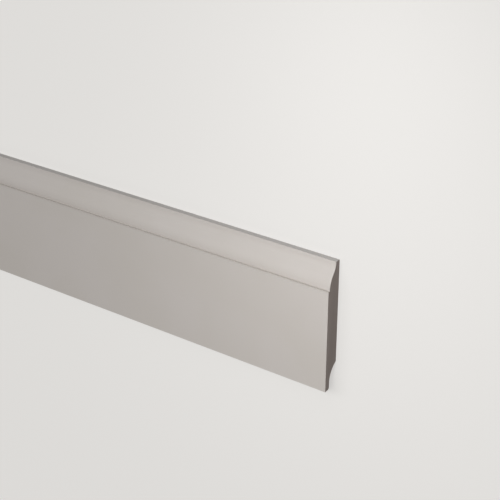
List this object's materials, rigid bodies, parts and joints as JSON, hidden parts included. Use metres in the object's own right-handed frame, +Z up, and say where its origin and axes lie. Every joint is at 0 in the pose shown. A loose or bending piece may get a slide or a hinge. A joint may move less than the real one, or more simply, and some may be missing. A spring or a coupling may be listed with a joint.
{
  "type": "skirting board length",
  "caption": "Straight length of painted skirting board with a quirked ogee top edge and a relieved foot, to cover the joint between wall and floor.",
  "frame": {"origin": "middle of the length and of the height, on the floor under the board's back", "axes": "+X along the length, +Y across the board from its foot to its moulded top edge, +Z up through the thickness, out of the face that looks into the room"},
  "size_m": [2.4, 0.12, 0.016],
  "materials": {
    "painted_board": "smooth off-white primer on moulded fibreboard, eggshell sheen"
  },
  "bodies": {
    "root": {"skirting_board": "painted_board"}
  },
  "joints": []
}
